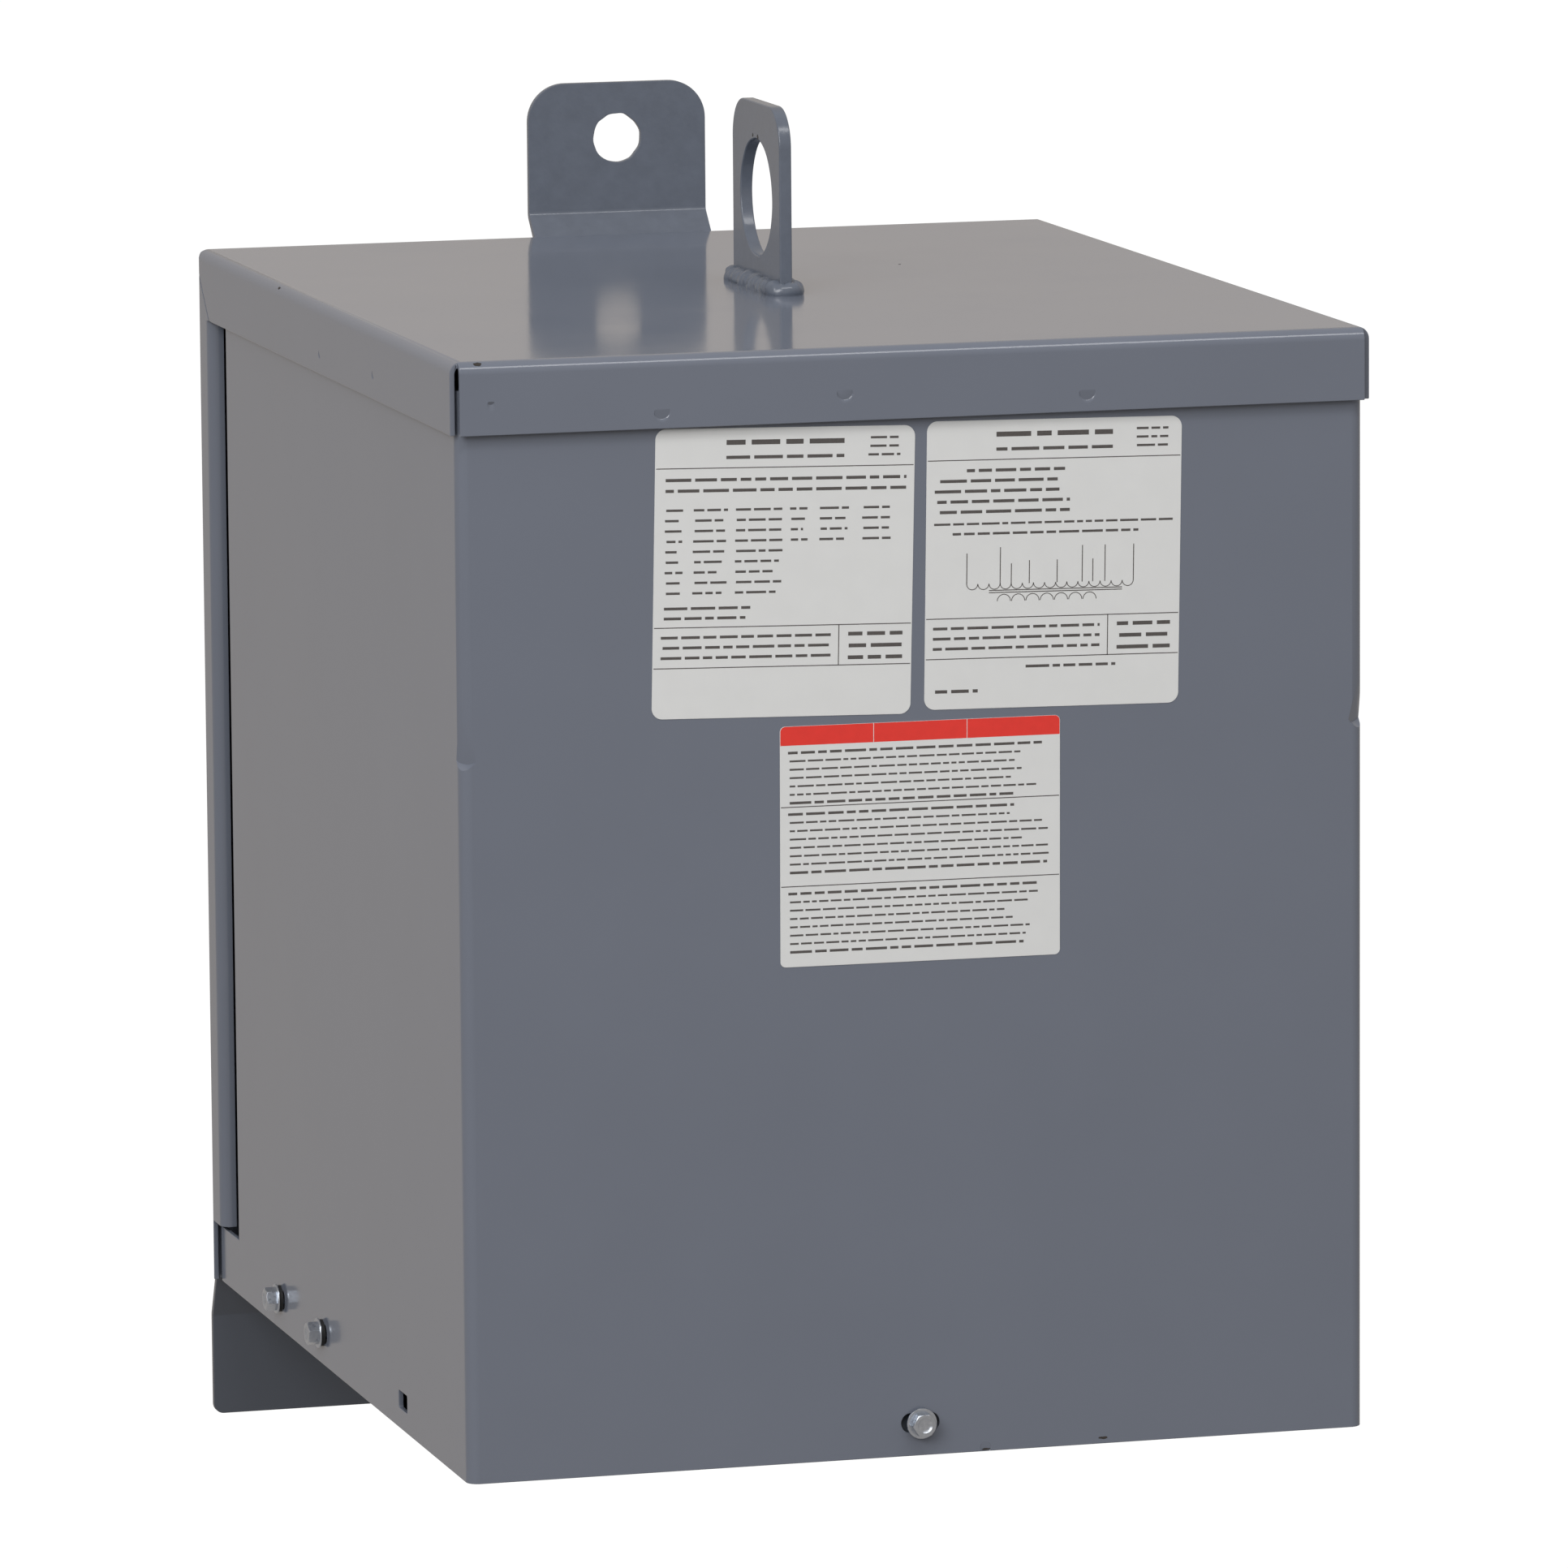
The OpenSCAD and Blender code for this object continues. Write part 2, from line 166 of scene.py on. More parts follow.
def enamel(name, colour, settings):  # baked enamel on steel
    made, tree, where = material(name)
    clouds = addNode(tree, "ShaderNodeTexNoise", {"Scale": 1000 / settings["cloud"], "Detail": 3.0, "Roughness": 0.55},
                     {"Vector": (where, "Object")})
    tone = addNode(tree, "ShaderNodeMapRange", {1: 0.3, 2: 0.7, 3: 1 - settings["toneShift"], 4: 1 + settings["toneShift"]},
                   {0: (clouds, 0)})
    base = addNode(tree, "ShaderNodeVectorMath", {"operation": "SCALE", 0: linear(colour)[:3]}, {"Scale": (tone, 0)})
    peel = addNode(tree, "ShaderNodeTexNoise", {"Scale": 1000 / settings["peel"], "Detail": 2.0, "Roughness": 0.4},
                   {"Vector": (where, "Object")})
    wave = addNode(tree, "ShaderNodeTexNoise", {"Scale": 1000 / settings["wave"], "Detail": 1.0, "Roughness": 0.3},
                   {"Vector": (where, "Object")})
    gloss = addNode(tree, "ShaderNodeMapRange", {1: 0.3, 2: 0.7, 3: settings["rough"] - 0.02, 4: settings["rough"] + 0.03},
                    {0: (clouds, 0)})
    slow = addNode(tree, "ShaderNodeBump", {"Strength": 1.0, "Distance": settings["waveHeight"] * mm}, {"Height": (wave, 0)})
    fine = addNode(tree, "ShaderNodeBump", {"Strength": 1.0, "Distance": settings["peelHeight"] * mm},
                   {"Height": (peel, 0), "Normal": (slow, 0)})
    shader = addNode(tree, "ShaderNodeBsdfPrincipled", {"IOR": 1.5},
                     {"Base Color": (base, 0), "Roughness": (gloss, 0), "Normal": (fine, 0)})
    close(tree, shader)
    return made


# baked enamel sprayed on sheet steel: a smooth blue-grey film with faint orange peel and a clear, soft-edged gloss
enamelSettings = {"cloud": 70, "toneShift": 0.02, "peel": 1.6, "peelHeight": 0.010, "wave": 95, "waveHeight": 0.25,
                  "rough": 0.11}
greyEnamel = enamel("bakedGreyEnamel", "#686D78", enamelSettings)
# the same enamel inside the case, darkened as painted shade for the recesses it sits in, and duller
insideSettings = dict(enamelSettings, rough=0.38, peel=1.1, peelHeight=0.014)
shadedInsideEnamel = enamel("enamelInsidePaintedShade", "#31363D", insideSettings)
# enamel on thick strip that was sheared and hot worked: rougher over the mill surface, and a little darker as painted
# shade for the duller light on the tab and eye
shadedStripEnamel = enamel("enamelOnStripPaintedShade", "#5B616C", dict(enamelSettings, rough=0.20, toneShift=0.06, cloud=6,
                                                        peel=1.9, peelHeight=0.05, wave=40))
# the lower plate hangs under the case: the same enamel, darkened as painted shade for the shade the case casts on it
shadedLowerEnamel = enamel("enamelOnLowerPlatePaintedShade", "#4A4F58", dict(enamelSettings, rough=0.24, peel=1.9, peelHeight=0.05, wave=40))


def zincPlate():  # bright zinc plate
    made, tree, where = material("brightZincPlate")
    spots = addNode(tree, "ShaderNodeTexNoise", {"Scale": 1000 / 1.4, "Detail": 4.0}, {"Vector": (where, "Object")})
    tone = addNode(tree, "ShaderNodeMix", {"data_type": "RGBA", 6: linear("#A2AAB8"), 7: linear("#C6CCD3")},
                   {0: (spots, 0)})
    gloss = addNode(tree, "ShaderNodeMapRange", {1: 0.3, 2: 0.7, 3: 0.24, 4: 0.42}, {0: (spots, 0)})
    ridge = addNode(tree, "ShaderNodeBump", {"Strength": 0.6, "Distance": 0.03 * mm}, {"Height": (spots, 0)})
    shader = addNode(tree, "ShaderNodeBsdfPrincipled", {"Metallic": 1.0},
                     {"Base Color": (tone, 2), "Roughness": (gloss, 0), "Normal": (ridge, 0)})
    close(tree, shader)
    return made


# zinc plated steel, tumbled in a barrel: bright cool metal, mottled with a faint blue passivation
zinc = zincPlate()


def moulded(name, colour, rough, grain, height, shift):  # plain moulded, printed or bare surface with a grain
    made, tree, where = material(name)
    spots = addNode(tree, "ShaderNodeTexNoise", {"Scale": 1000 / grain, "Detail": 3.0}, {"Vector": (where, "Object")})
    tone = addNode(tree, "ShaderNodeMapRange", {1: 0.3, 2: 0.7, 3: 1 - shift, 4: 1 + shift}, {0: (spots, 0)})
    base = addNode(tree, "ShaderNodeVectorMath", {"operation": "SCALE", 0: linear(colour)[:3]}, {"Scale": (tone, 0)})
    ridge = addNode(tree, "ShaderNodeBump", {"Strength": 1.0, "Distance": height * mm}, {"Height": (spots, 0)})
    shader = addNode(tree, "ShaderNodeBsdfPrincipled", {"Roughness": rough, "IOR": 1.5},
                     {"Base Color": (base, 0), "Normal": (ridge, 0)})
    close(tree, shader)
    return made


rubber = moulded("mouldedNeoprene", "#1B1C1E", 0.62, 0.8, 0.02, 0.15)  # moulded rubber: matt black, slightly chalky
film = moulded("printedPolyesterFilm", "#D3D3D1", 0.34, 9.0, 0.02, 0.012)  # label film: satin off-white, faintly wavy
ink = moulded("darkInk", "#4E4A48", 0.5, 0.5, 0.002, 0.12)  # thermal print: thin soft black
redInk = moulded("redInk", "#DA342B", 0.4, 4.0, 0.004, 0.03)  # screen print: flat even red
bareSteel = moulded("tarnishedSteel", "#2B2622", 0.55, 0.9, 0.03, 0.3)  # steel showing through: brown-black, dull
print("materials ready")


# shaping, all in mm
def filleted(corners, radii, steps=12, closed=True):  # corner points with each corner rounded by its radius
    count = len(corners)
    result = []
    for i, (corner, r) in enumerate(zip(corners, radii)):
        here = Vector(corner)
        if r <= 0 or (not closed and i in (0, count - 1)):
            result.append(tuple(here))
            continue
        toLast = (Vector(corners[i - 1]) - here).normalized()
        toNext = (Vector(corners[(i + 1) % count]) - here).normalized()
        half = toLast.angle(toNext) / 2
        centre = here + (toLast + toNext).normalized() * (r / math.sin(half))
        start = here + toLast * (r / math.tan(half)) - centre
        end = here + toNext * (r / math.tan(half)) - centre
        a, b = math.atan2(start.y, start.x), math.atan2(end.y, end.x)
        sweep = (b - a + math.pi) % (2 * math.pi) - math.pi
        for k in range(steps + 1):
            angle = a + sweep * k / steps
            result.append((centre.x + r * math.cos(angle), centre.y + r * math.sin(angle)))
    return result


def circle(x, y, r, steps=64, rough=0.0, seed=0):
    points = []
    for k in range(steps):
        angle = 2 * math.pi * k / steps
        reach = r + rough * noise.noise(Vector((math.cos(angle) * 2.2, math.sin(angle) * 2.2, seed)))
        points.append((x + reach * math.cos(angle), y + reach * math.sin(angle)))
    return points


def slotOutline(x, y, length, r, steps=14):
    return filleted([(x - length / 2, y - r), (x + length / 2, y - r), (x + length / 2, y + r), (x - length / 2, y + r)],
                    [r * 0.999] * 4, steps)


def objectFrom(shape, name):
    bmesh.ops.recalc_face_normals(shape, faces=shape.faces)
    mesh = bpy.data.meshes.new(name)
    shape.to_mesh(mesh)
    shape.free()
    piece = bpy.data.objects.new(name, mesh)
    scene.collection.objects.link(piece)
    return piece


def prism(outline, low, high, axis="z", name="prism"):
    place = {"x": lambda a, b, t: (t, a, b), "y": lambda a, b, t: (a, t, b), "z": lambda a, b, t: (a, b, t)}[axis]
    shape = bmesh.new()
    rings = [[shape.verts.new(place(a, b, t)) for a, b in outline] for t in (low, high)]
    shape.faces.new(rings[0])
    shape.faces.new(rings[1][::-1])
    count = len(outline)
    for i in range(count):
        j = (i + 1) % count
        shape.faces.new((rings[0][i], rings[0][j], rings[1][j], rings[1][i]))
    return objectFrom(shape, name)


def block(low, high):
    return prism([(low[0], low[1]), (high[0], low[1]), (high[0], high[1]), (low[0], high[1])], low[2], high[2])


def revolve(profile, steps=48, name="turned"):  # closed profile of (radius, height) points turned about z
    shape = bmesh.new()
    rings = []
    for r, z in profile:
        if r < 1e-6:
            rings.append([shape.verts.new((0, 0, z))])
        else:
            rings.append([shape.verts.new((r * math.cos(2 * math.pi * k / steps), r * math.sin(2 * math.pi * k / steps), z))
                          for k in range(steps)])
    for ringA, ringB in zip(rings, rings[1:]):
        for k in range(steps):
            j = (k + 1) % steps
            if len(ringA) == 1:
                shape.faces.new((ringA[0], ringB[j], ringB[k]))
            elif len(ringB) == 1:
                shape.faces.new((ringA[k], ringA[j], ringB[0]))
            else:
                shape.faces.new((ringA[k], ringA[j], ringB[j], ringB[k]))
    return objectFrom(shape, name)


def combine(piece, tool, how="DIFFERENCE"):
    change = piece.modifiers.new("change", "BOOLEAN")
    change.operation = how
    change.object = tool
    change.solver = "EXACT"
    bpy.context.view_layer.update()
    mesh = bpy.data.meshes.new_from_object(piece.evaluated_get(bpy.context.evaluated_depsgraph_get()))
    piece.modifiers.clear()
    piece.data = mesh
    bpy.data.objects.remove(tool)
    return piece


def moved(piece, matrix):
    piece.data.transform(matrix)
    return piece


def clean(piece):
    shape = bmesh.new()
    shape.from_mesh(piece.data)
    bmesh.ops.remove_doubles(shape, verts=shape.verts, dist=0.0005)
    bmesh.ops.dissolve_limit(shape, angle_limit=math.radians(0.1), verts=shape.verts, edges=shape.edges)
    bmesh.ops.recalc_face_normals(shape, faces=shape.faces)
    shape.to_mesh(piece.data)
    shape.free()


def breakEdges(piece, width, steps=2, sharp=32, clamp=False):  # round off every sharp edge a little, as paint and handling do
    clean(piece)
    bevel = piece.modifiers.new("edge", "BEVEL")
    bevel.width = width
    bevel.segments = steps
    bevel.limit_method = "ANGLE"
    bevel.angle_limit = math.radians(sharp)
    bevel.use_clamp_overlap = clamp
    bpy.context.view_layer.update()
    mesh = bpy.data.meshes.new_from_object(piece.evaluated_get(bpy.context.evaluated_depsgraph_get()))
    piece.modifiers.clear()
    piece.data = mesh
    return piece


def finishPiece(piece, name, stuff, nodes):  # bring the mesh to metres, smooth it, and hand it to the frame
    clean(piece)
    piece.data.transform(Matrix.Scale(mm, 4))
    piece.name = name
    piece.data.name = name
    piece.data.shade_smooth()
    piece.data.set_sharp_from_angle(angle=math.radians(40))
    flat = piece.modifiers.new("normals", "WEIGHTED_NORMAL")
    flat.keep_sharp = True
    flat.weight = 100
    piece.data.materials.clear()
    piece.data.materials.append(stuff)
    if nodes:
        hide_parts(*nodes)
    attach(piece, "root")
    return piece


# half-round dent: a cone's end leaned so that only its lower half bites, deepest at the bottom
def tiltedMark(piece, at, outward, radius, depth, height, flare):
    outward = Vector(outward).normalized()
    lean = math.atan2(depth, height)
    reach = 4 * radius
    wide = radius + reach * math.tan(math.radians(flare))  # the sloped wall catches the light from above
    disc = revolve([(0, 0), (radius, 0), (wide, reach), (0, reach)], 64)
    side = Vector((0, 0, 1)).cross(outward).normalized()
    axis = (outward * math.cos(lean) - Vector((0, 0, math.sin(lean)))).normalized()
    up = axis.cross(side)
    if up.z < 0:
        up = -up
    centre = Vector(at) - outward * (depth * (height - radius) / height)
    turn = Matrix((side, up, axis)).transposed().to_4x4()
    moved(disc, Matrix.Translation(centre) @ turn)
    return combine(piece, disc)


# lid and back, one bent sheet
lidSettings = {"backFlange": 20.0, "flangeUp": 23.5, "mitreGap": 0.6, "lipInner": 166.3, "cornerGap": 0.9}


def wrapped(inset):
    w, r = body["lidX"] - inset, body["bend"] - inset
    yf, yb = body["lidFrontY"] + inset, body["backY"] - inset
    top, low = body["lidTop"] - inset, body["baseZ"] - (20 if inset else 0)
    shell = prism(filleted([(-w, low), (-w, top), (w, top), (w, low)], [0, r, r, 0]), yf - 9, yb + 9, "y")
    side = filleted([(yf, low - 5), (yf, top), (yb, top), (yb, low - 5)], [0, r, r, 0])
    combine(shell, prism(side, -w - 9, w + 9, "x"), "INTERSECT")
    plan = filleted([(-w, yf - 5), (w, yf - 5), (w, yb), (-w, yb)], [0, 0, r, r])
    return combine(shell, prism(plan, low - 9, top + 9, "z"), "INTERSECT")


def makeLid():
    s = lidSettings
    sheet, bend = body["sheet"], body["bend"]
    backY, frontY, lidX = body["backY"], body["frontY"], body["lidX"]
    shell = combine(wrapped(0), wrapped(sheet))
    combine(shell, block((-200, -480, 0), (200, backY - bend, body["flangeZ"])))
    yl, inner, lip = backY - s["backFlange"], lidX - sheet, s["lipInner"]
    channel = filleted(
        [(-lip, yl), (-lidX, yl), (-lidX, backY), (lidX, backY), (lidX, yl), (lip, yl), (lip, yl + sheet),
         (inner, yl + sheet), (inner, backY - sheet), (-inner, backY - sheet), (-inner, yl + sheet), (-lip, yl + sheet)],
        [0, bend, bend, bend, bend, 0, 0, bend - sheet, bend - sheet, bend - sheet, bend - sheet, 0])
    combine(shell, prism(channel, body["baseZ"], body["lidTop"] - bend), "UNION")
    combine(shell, block((-200, yl - 1, 0), (200, backY - bend, body["baseZ"] + s["flangeUp"])))
    notchX = lidX - sheet - s["cornerGap"]
    for side in (-1, 1):
        a, b = sorted((side * notchX, side * (notchX + 20)))
        combine(shell, block((a, body["lidFrontY"] - 5, 300), (b, frontY, 500)))
        half = (s["backFlange"] - 2.5) * math.sqrt(2)
        seam = block((-2.4, -half, -s["mitreGap"] / 2), (2.4, half, s["mitreGap"] / 2))
        place = Matrix.Translation((side * lidX, yl, body["flangeZ"])) @ Matrix.Rotation(math.radians(45), 4, "X")
        combine(shell, moved(seam, place))
    breakEdges(shell, 0.35)
    for x, z, size in ((-158, 430.4, 1.0), (-95, 424.7, 2.8), (-27, 429.0, 2.8), (64, 425.5, 2.9)):
        tiltedMark(shell, (x, body["lidFrontY"], z), (0, -1, 0), size, 0.8, 1.3 * size, 46)
    for y, z in ((-218.9, 426.0), (-303.5, 427.7)):
        tiltedMark(shell, (-lidX, y, z), (-1, 0, 0), 1.5, 0.3, 3.0, 46)
    return finishPiece(shell, "lid_and_back", greyEnamel, ["top_back_cover"])


makeLid()
print("lid ready")

# front and sides, one bent sheet
frontSettings = {
    "top": 434.4, "sideEnd": -20.5, "skirt": 22.0, "slotZ": 49.3, "slotLength": 14.4, "slotRadius": 3.6,
    "screwYs": (-192.5, -122.5), "openY": -321.0, "openZ": 48.0, "openSize": (13.0, 6.6),
    "dentZ": 307.0, "dentRadius": 7.5, "dentDepth": 2.4, "dentHeight": 15.0,
}


def makeFront():
    s = frontSettings
    sheet, bend = body["sheet"], body["bend"]
    x, y, xi, yi, end = body["sideX"], body["frontY"], body["sideX"] - sheet, body["frontY"] + sheet, s["sideEnd"]
    plan = filleted([(-x, end), (-x, y), (x, y), (x, end), (xi, end), (xi, yi), (-xi, yi), (-xi, end)],
                    [0, bend, bend, 0, 0, bend - sheet, bend - sheet, 0], 14)
    shell = prism(plan, body["baseZ"], s["top"])
    for side in (-1, 1):  # metal pushed inwards behind each dent
        pad = [(side * (xi + 0.2), yi - 0.2), (side * (xi - 7), yi - 0.2), (side * (xi + 0.2), yi + 7)]
        combine(shell, prism(pad, s["dentZ"] - 12, s["dentZ"] + 12), "UNION")
    combine(shell, block((-200, body["gapY"], body["baseZ"] + s["skirt"]), (200, 50, 500)))
    combine(shell, prism(slotOutline(0, s["slotZ"], s["slotLength"], s["slotRadius"]), y - 5, y + 5, "y"))
    for at in s["screwYs"]:
        combine(shell, prism(slotOutline(at, s["slotZ"], s["slotLength"], s["slotRadius"]), -200, 200, "x"))
    w, h = s["openSize"]
    opening = filleted([(s["openY"] - w / 2, s["openZ"] - h / 2), (s["openY"] + w / 2, s["openZ"] - h / 2),
                        (s["openY"] + w / 2, s["openZ"] + h / 2), (s["openY"] - w / 2, s["openZ"] + h / 2)], [0.8] * 4, 5)
    combine(shell, prism(opening, -200, 200, "x"))
    breakEdges(shell, 0.35)
    reach = bend * (math.sqrt(2) - 1)  # how far the bend's crest lies in from the sharp corner
    for side in (-1, 1):
        crest = (side * (x - reach / math.sqrt(2)), y + reach / math.sqrt(2), s["dentZ"])
        tiltedMark(shell, crest, (side, -1, 0), s["dentRadius"], s["dentDepth"], s["dentHeight"], 30)
    tiltedMark(shell, (24.8, y, 38.6), (0, -1, 0), 2.0, 0.3, 4.0, 46)
    return finishPiece(shell, "front_and_sides", greyEnamel, ["front_cover"])


makeFront()
print("front ready")

# hangers
hanger = {
    "thick": 3.0, "bendRadius": 3.6,
    "upperWidth": 72.0, "upperTop": 503.7, "upperRound": 15.0, "upperLow": 390.5, "upperIn": 442.5, "upperOut": 452.0,
    "holeZ": 481.7, "holeRadius": 9.6,
    "lowerWidth": 340.0, "lowerEnd": -20.0, "lowerRound": 4.0, "lowerLap": 87.0, "lowerIn": 40.0, "lowerOut": 20.0,
    "slotSpan": 152.4, "slotLength": 22.0, "slotRadius": 5.0,
}


def bentStrip(path, thick, radius):  # outline of a strip of that thickness along a path with rounded bends
    line = [Vector(p) for p in filleted(path, [radius] * len(path), 8, closed=False)]
    left, right = [], []
    for i, point in enumerate(line):
        ahead = (line[min(i + 1, len(line) - 1)] - line[max(i - 1, 0)]).normalized()
        out = Vector((-ahead.y, ahead.x)) * thick / 2
        left.append(tuple(point + out))
        right.append(tuple(point - out))
    return left + right[::-1]


def makeHangers():
    h = hanger
    nearY, wallY = body["backY"] + h["thick"] / 2, -h["thick"] / 2
    half = h["upperWidth"] / 2
    path = [(nearY, h["upperLow"]), (nearY, h["upperIn"]), (wallY, h["upperOut"]), (wallY, h["upperTop"])]
    upper = prism(bentStrip(path, h["thick"], h["bendRadius"]), -half - 2, half + 2, "x")
    face = filleted([(-half, h["upperLow"]), (half, h["upperLow"]), (half, h["upperTop"]), (-half, h["upperTop"])],
                    [0, 0, h["upperRound"], h["upperRound"]], 20)
    combine(upper, prism(face, -60, 60, "y"), "INTERSECT")
    combine(upper, prism(circle(0, h["holeZ"], h["holeRadius"], 72, 0.5, 3), -60, 60, "y"))
    # the tab takes the strip enamel, darkened a little as painted shade
    finishPiece(breakEdges(upper, 0.45), "upper_wall_hanger", shadedStripEnamel, ["upper_hanger"])

    half = h["lowerWidth"] / 2
    path = [(nearY, h["lowerLap"]), (nearY, h["lowerIn"]), (wallY, h["lowerOut"]), (wallY, h["lowerEnd"])]
    lower = prism(bentStrip(path, h["thick"], h["bendRadius"]), -half - 2, half + 2, "x")
    face = filleted([(-half, h["lowerEnd"]), (half, h["lowerEnd"]), (half, h["lowerLap"]), (-half, h["lowerLap"])],
                    [h["lowerRound"], h["lowerRound"], 0, 0], 12)
    combine(lower, prism(face, -60, 60, "y"), "INTERSECT")
    for side in (-1, 1):
        combine(lower, prism(slotOutline(side * h["slotSpan"] / 2, 0, h["slotLength"], h["slotRadius"]), -60, 60, "y"))
    # the lower plate takes the enamel darkened as painted shade for the shade under the case
    finishPiece(breakEdges(lower, 0.45), "lower_wall_hanger", shadedLowerEnamel, ["lower_hanger"])


makeHangers()

# lifting eye
eye = {"thick": 4.8, "width": 66.0, "height": 69.5, "round": 15.0, "holeRadius": 22.0, "holeUp": 33.8, "y": -216.5}


def makeEye():
    e = eye
    low, half = body["lidTop"], e["width"] / 2
    side = filleted([(e["y"] - half, low), (e["y"] + half, low), (e["y"] + half, low + e["height"]),
                     (e["y"] - half, low + e["height"])], [0, 0, e["round"], e["round"]], 24)
    bar = prism(side, -e["thick"] / 2, e["thick"] / 2, "x")
    combine(bar, prism(circle(e["y"], low + e["holeUp"], e["holeRadius"], 96, 0.35, 8), -60, 60, "x"))
    finishPiece(breakEdges(bar, 0.6, 3), "lifting_eye_bar", shadedStripEnamel, ["lifting_eye"])


makeEye()
print("hangers and eye ready")


# weld beads
def bead(stations, radius, name, nodes, ripple=0.45, pitch=2.8, lump=0.26, seed=1):  # bead laid in a corner: each station is (corner point, outward direction, upward direction)
    shape = bmesh.new()
    rings, around, run = [], 12, 0.0
    total = sum((Vector(b[0]) + Vector(b[1]) * radius * 0.6 - Vector(a[0]) - Vector(a[1]) * radius * 0.6).length
                for a, b in zip(stations, stations[1:]))
    last = None
    for corner, out, up in stations:
        corner, out, up = Vector(corner), Vector(out).normalized(), Vector(up).normalized()
        mid = corner + out * radius * 0.6
        run += (mid - last).length if last else 0.0
        last = mid
        taper = min(1.0, math.sqrt(max(0.0, min(run, total - run)) / (1.1 * radius) + 0.04))
        ring = [shape.verts.new(corner - out * 0.6 - up * 0.3)]
        for k in range(around + 1):
            angle = math.pi / 2 * k / around
            big = lump * noise.noise(Vector((run * 0.16, angle * 0.8, seed)))
            small = 0.05 * noise.noise(Vector((run * 0.7, angle * 3.0, seed + 5)))
            wave = ripple * (0.5 + 0.5 * math.cos(2 * math.pi * (run + 1.6 * math.sin(angle * 2)) / pitch)) ** 2
            bulge = 0.90 + 0.10 * math.sin(2 * angle)
            reach = radius * taper * (bulge - 0.04 + big + small) + (wave - ripple * 0.4) * math.sin(2 * angle)
            ring.append(shape.verts.new(corner + out * (reach * math.cos(angle)) + up * (reach * math.sin(angle) - 0.05)))
        ring.append(shape.verts.new(corner - out * 0.6 + up * 0.2))
        rings.append(ring)
    for a, b in zip(rings, rings[1:]):
        for k in range(len(a)):
            j = (k + 1) % len(a)
            shape.faces.new((a[k], a[j], b[j], b[k]))
    shape.faces.new(rings[0])
    shape.faces.new(rings[-1][::-1])
    piece = objectFrom(shape, name)
    return finishPiece(piece, name, shadedStripEnamel, nodes)


def makeBeads():
    half, length = eye["thick"] / 2, eye["width"] / 2
    low = body["lidTop"]
    up = (0, 0, 1)
    stations = []
    ys = [eye["y"] + length + 1.5 - 0.4 * k for k in range(int((2 * length) / 0.4))]
    stations += [((-half, y, low), (-1, 0, 0), up) for y in ys]
    for k in range(17):  # round the front end
        angle = math.pi * (1 + k / 16)
        at = (half * math.cos(angle), eye["y"] - length + 2.0 + 0.8 * math.sin(angle), low)
        stations.append((at, (math.cos(angle), math.sin(angle), 0), up))
    stations += [((half, y, low), (1, 0, 0), up) for y in ys[::-1]]
    bead(stations, 5.6, "eye_weld", ["eye_weld_left", "eye_weld_right"], seed=4)
    for side, word in ((-1, "left"), (1, "right")):
        zs = [hanger["upperLow"] + 4 + 0.5 * k for k in range(77)]
        run = [((side * 36.0, body["backY"], z), (side, 0, 0), (0, 1, 0)) for z in zs]
        bead(run, 2.9, "hanger_weld_" + word, ["upper_hanger_weld_" + word], 0.12, 2.2, 0.12, 10 + side)
    run = [((-150 + 0.5 * k, body["backY"], hanger["lowerLap"]), (0, 0, 1), (0, 1, 0)) for k in range(601)]
    bead(run, 2.9, "lower_hanger_bead", ["lower_hanger_weld"], 0.12, 2.2, 0.12, 21)


makeBeads()
print("welds ready")

# screws
screwSettings = {"flats": 7.94, "head": 4.0, "washer": 5.7, "washerThick": 0.9, "shank": 2.6, "shankLength": 16.0,
                 "seal": 1.4, "dish": 0.7}


def screwHead():
    s = screwSettings
    corner, top = s["flats"] / 2 / math.cos(math.pi / 6), s["washerThick"] + s["head"]
    hexagon = [(corner * math.cos(math.pi / 3 * k), corner * math.sin(math.pi / 3 * k)) for k in range(6)]
    head = prism(hexagon, s["washerThick"] - 0.2, top)
    crown = revolve([(0, -1), (corner + 1, -1), (corner + 1, top - 1.3), (s["flats"] / 2 - 0.1, top), (0, top)], 72)
    combine(head, crown, "INTERSECT")
    deep = top - s["dish"]
    lens = revolve([(0, deep), (1.5, deep + 0.05), (2.2, deep + 0.25), (2.7, top - 0.1), (2.95, top + 0.1),
                    (2.95, top + 2), (0, top + 2)], 72)
    return combine(head, lens)


def screwWasher():
    s = screwSettings
    rim = s["washerThick"]
    profile = [(0, -s["shankLength"]), (s["shank"] - 1.0, -s["shankLength"]), (s["shank"], -s["shankLength"] + 1.4),
               (s["shank"], 0.0), (s["washer"] - 0.22, 0.0), (s["washer"], 0.2), (s["washer"], rim - 0.35),
               (s["washer"] - 0.1, rim - 0.12), (s["washer"] - 0.35, rim), (s["flats"] / 2 + 0.7, rim - 0.08), (0, rim - 0.1)]
    return revolve(profile, 72)


def makeScrews():
    s = screwSettings
    frontY, sideX, z = body["frontY"], body["sideX"], frontSettings["slotZ"]
    yf, yr = frontSettings["screwYs"]
    rows = [("front_screw", (0, frontY, z), (0, -1, 0), 4), ("left_front_screw", (-sideX, yf, z), (-1, 0, 0), 22),
            ("left_rear_screw", (-sideX, yr, z), (-1, 0, 0), 47), ("right_front_screw", (sideX, yf, z), (1, 0, 0), 13),
            ("right_rear_screw", (sideX, yr, z), (1, 0, 0), 34)]
    for name, at, out, spin in rows:
        out = Vector(out)
        turn = out.to_track_quat("Z", "Y").to_matrix().to_4x4() @ Matrix.Rotation(math.radians(spin), 4, "Z")
        place = Matrix.Translation(Vector(at) + out * s["seal"]) @ turn
        head = breakEdges(moved(screwHead(), place), 0.08, sharp=30, clamp=True)
        finishPiece(head, name + "_head", zinc, [name])
        finishPiece(moved(screwWasher(), place), name + "_washer", zinc, [])


makeScrews()
print("screws ready")

